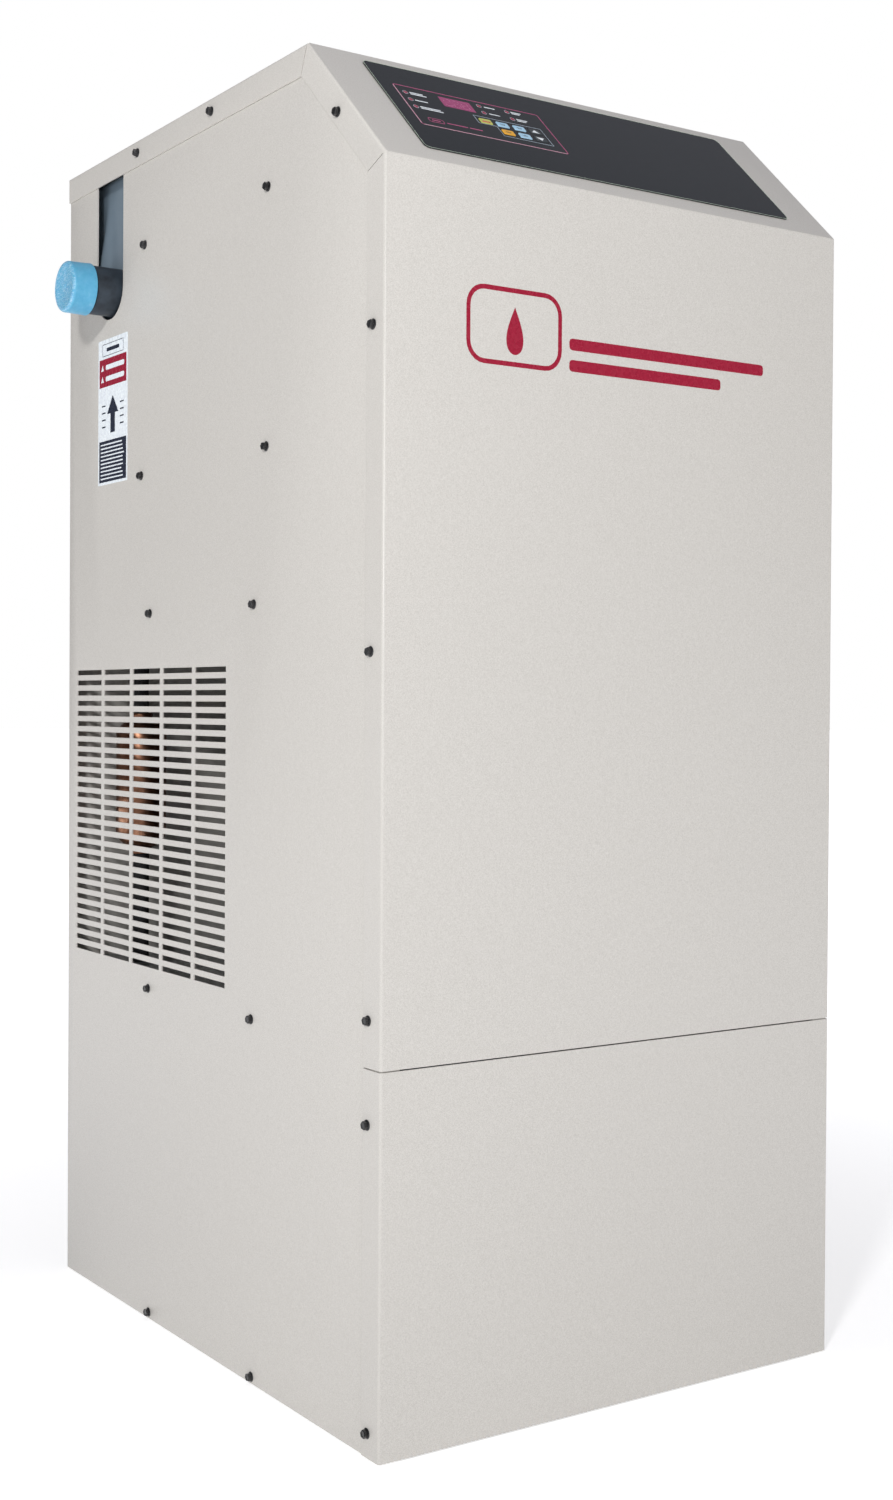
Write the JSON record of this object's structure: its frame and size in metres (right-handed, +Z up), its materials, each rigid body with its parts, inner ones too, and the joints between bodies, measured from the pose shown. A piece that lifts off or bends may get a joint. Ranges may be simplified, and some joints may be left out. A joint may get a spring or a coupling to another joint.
{
  "type": "refrigerated air dryer",
  "caption": "Floor-standing refrigerated compressed-air dryer in a sheet-metal cabinet with a sloped control hood, side air ports, louvre grilles and the refrigeration circuit inside.",
  "frame": {"origin": "middle of the base pan underside, on the floor", "axes": "+Z up, +X to the right of someone facing the front, -Y out of the front"},
  "size_m": [0.6682, 0.712, 1.295],
  "materials": {
    "cabinet_paint": "fine-textured semi-gloss paint",
    "galvanised_steel": "galvanised sheet",
    "black_steel": "gloss black paint",
    "insulation_jacket": "smooth skinned insulation jacket",
    "pipe_foam": "closed-cell pipe foam",
    "blue_plastic": "soft moulded plastic",
    "mount_rubber": "matt rubber",
    "grey_plastic": "moulded plastic",
    "coil_fins": "bare fins",
    "shaft_steel": "ground steel",
    "fan_aluminium": "pressed sheet",
    "copper": "drawn copper, slightly tarnished",
    "brass_fitting": "machined",
    "lever_steel": "red dipped handle",
    "overlay_black": "polycarbonate film",
    "key_green": "embossed film",
    "key_blue": "embossed film",
    "key_grey": "embossed film",
    "key_amber": "embossed film",
    "circuit_board": "solder mask",
    "display_red": "tinted window"
  },
  "bodies": {
    "cabinet": {"base_pan": "galvanised_steel", "left_side_panel": "cabinet_paint", "right_side_panel": "cabinet_paint", "rear_panel": "cabinet_paint", "top_cover": "cabinet_paint", "upper_front_cover": "cabinet_paint", "lower_front_panel": "cabinet_paint", "lower_deck": "galvanised_steel", "upper_deck": "galvanised_steel", "lower_vessel_rail": "galvanised_steel", "upper_vessel_rail": "galvanised_steel", "heat_exchanger": "insulation_jacket", "evaporator": "insulation_jacket", "moisture_separator": "black_steel", "inlet_pipe": "black_steel", "outlet_pipe": "black_steel", "warm_air_link": "pipe_foam", "cold_air_link": "pipe_foam", "dry_air_link": "pipe_foam", "compressor": "black_steel", "compressor_grommet_1": "mount_rubber", "compressor_grommet_2": "mount_rubber", "compressor_grommet_3": "mount_rubber", "compressor_grommet_4": "mount_rubber", "compressor_terminal_cover": "grey_plastic", "condenser_coil": "coil_fins", "fan_shroud": "galvanised_steel", "fan_motor": "black_steel", "fan_bracket": "galvanised_steel", "suction_accumulator": "copper", "filter_drier": "copper", "discharge_line": "copper", "liquid_line": "copper", "expansion_line": "copper", "suction_line": "pipe_foam", "compressor_return_line": "pipe_foam", "drain_line": "copper", "drain_ball_valve": "brass_fitting", "drain_valve": "brass_fitting", "drain_outlet_line": "copper", "drain_bulkhead": "brass_fitting", "control_overlay": "overlay_black", "control_board": "circuit_board", "display_module": "display_red", "electrical_box": "galvanised_steel", "electrical_cover": "galvanised_steel", "contactor": "grey_plastic", "cable_gland": "grey_plastic"},
    "fan": {"fan_shaft": "shaft_steel", "fan_impeller": "fan_aluminium"},
    "inlet_cap": {"inlet_cap": "blue_plastic"},
    "outlet_cap": {"outlet_cap": "blue_plastic"},
    "drain_lever": {"drain_valve_lever": "lever_steel"},
    "key_power": {"key_power": "key_green"},
    "key_test": {"key_test": "key_blue"},
    "key_set": {"key_set": "key_blue"},
    "key_up": {"key_up": "key_grey"},
    "key_enter": {"key_enter": "key_amber"},
    "key_mode": {"key_mode": "key_blue"},
    "key_down": {"key_down": "key_grey"}
  },
  "joints": [
    {"name": "fan_spin", "type": "hinge", "parent": "cabinet", "child": "fan", "pos_m": [0.152, 0.13285, 0.5478], "axis": [1, 0, 0], "continuous": true},
    {"name": "inlet_cap_pull", "type": "slide", "parent": "cabinet", "child": "inlet_cap", "axis": [-1, 0, 0], "range_m": [0, 0.15]},
    {"name": "outlet_cap_pull", "type": "slide", "parent": "cabinet", "child": "outlet_cap", "axis": [1, 0, 0], "range_m": [0, 0.15]},
    {"name": "drain_lever_turn", "type": "hinge", "parent": "cabinet", "child": "drain_lever", "pos_m": [-0.1642, 0.016, 0.33], "axis": [0, -1, 0], "range_deg": [0, 90]},
    {"name": "key_power_press", "type": "slide", "parent": "cabinet", "child": "key_power", "axis": [0, 0.7071, -0.7071], "range_m": [0, 0.0005], "stiffness_N_per_m": 3000},
    {"name": "key_test_press", "type": "slide", "parent": "cabinet", "child": "key_test", "axis": [0, 0.7071, -0.7071], "range_m": [0, 0.0005], "stiffness_N_per_m": 3000},
    {"name": "key_set_press", "type": "slide", "parent": "cabinet", "child": "key_set", "axis": [0, 0.7071, -0.7071], "range_m": [0, 0.0005], "stiffness_N_per_m": 3000},
    {"name": "key_up_press", "type": "slide", "parent": "cabinet", "child": "key_up", "axis": [0, 0.7071, -0.7071], "range_m": [0, 0.0005], "stiffness_N_per_m": 3000},
    {"name": "key_enter_press", "type": "slide", "parent": "cabinet", "child": "key_enter", "axis": [0, 0.7071, -0.7071], "range_m": [0, 0.0005], "stiffness_N_per_m": 3000},
    {"name": "key_mode_press", "type": "slide", "parent": "cabinet", "child": "key_mode", "axis": [0, 0.7071, -0.7071], "range_m": [0, 0.0005], "stiffness_N_per_m": 3000},
    {"name": "key_down_press", "type": "slide", "parent": "cabinet", "child": "key_down", "axis": [0, 0.7071, -0.7071], "range_m": [0, 0.0005], "stiffness_N_per_m": 3000}
  ]
}
